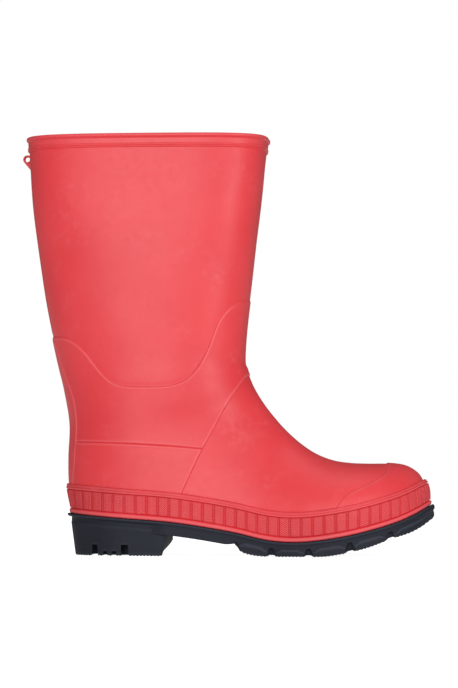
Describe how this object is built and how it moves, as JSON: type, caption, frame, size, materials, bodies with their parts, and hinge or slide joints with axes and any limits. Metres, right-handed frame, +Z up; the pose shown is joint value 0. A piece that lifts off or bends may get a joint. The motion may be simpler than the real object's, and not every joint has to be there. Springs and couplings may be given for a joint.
{
  "type": "rubber rain boot",
  "caption": "Pull-on rubber rain boot for the right foot, with a straight shaft, overlaid ankle and heel panels, ribbed foxing, a block heel and a lugged sole.",
  "frame": {"origin": "middle of the heel's flat tread, on the ground", "axes": "+X to the toe, +Y to the inner side of the foot, +Z up the shaft"},
  "size_m": [0.2534, 0.0918, 0.256],
  "materials": {
    "upper_rubber": "satin, fine matte bloom",
    "trim_rubber": "satin, moulded texture",
    "sole_rubber": "matte",
    "lining_knit": "fine knit",
    "footbed_felt": "needled felt",
    "board": "pressed fibre board",
    "filler_foam": "cellular rubber",
    "stiff_board": "stiffened felt",
    "shank_steel": "rolled"
  },
  "bodies": {
    "foot": {"ankle_panel": "upper_rubber", "back_stay": "upper_rubber", "vamp": "upper_rubber", "heel_counter": "upper_rubber", "toe_cap": "upper_rubber", "heel_stiffener": "stiff_board", "toe_puff": "stiff_board", "foxing_band": "trim_rubber", "foxing_edging": "trim_rubber", "welt_bead": "trim_rubber", "outsole": "sole_rubber", "heel_block": "sole_rubber", "heel_filler": "filler_foam", "forepart_filler": "filler_foam", "shank": "shank_steel", "insole_board": "board", "lining_sock": "lining_knit", "footbed": "footbed_felt"},
    "leg": {"leg_panel": "upper_rubber", "top_band": "trim_rubber", "hang_loop": "upper_rubber"}
  },
  "joints": [
    {"name": "ankle_flex", "type": "hinge", "parent": "foot", "child": "leg", "pos_m": [0.047, 0, 0.098], "axis": [0, 1, 0], "range_deg": [-8, 18], "stiffness_Nm_per_rad": 5, "deforming": ["ankle_panel", "back_stay", "lining_sock"]}
  ]
}
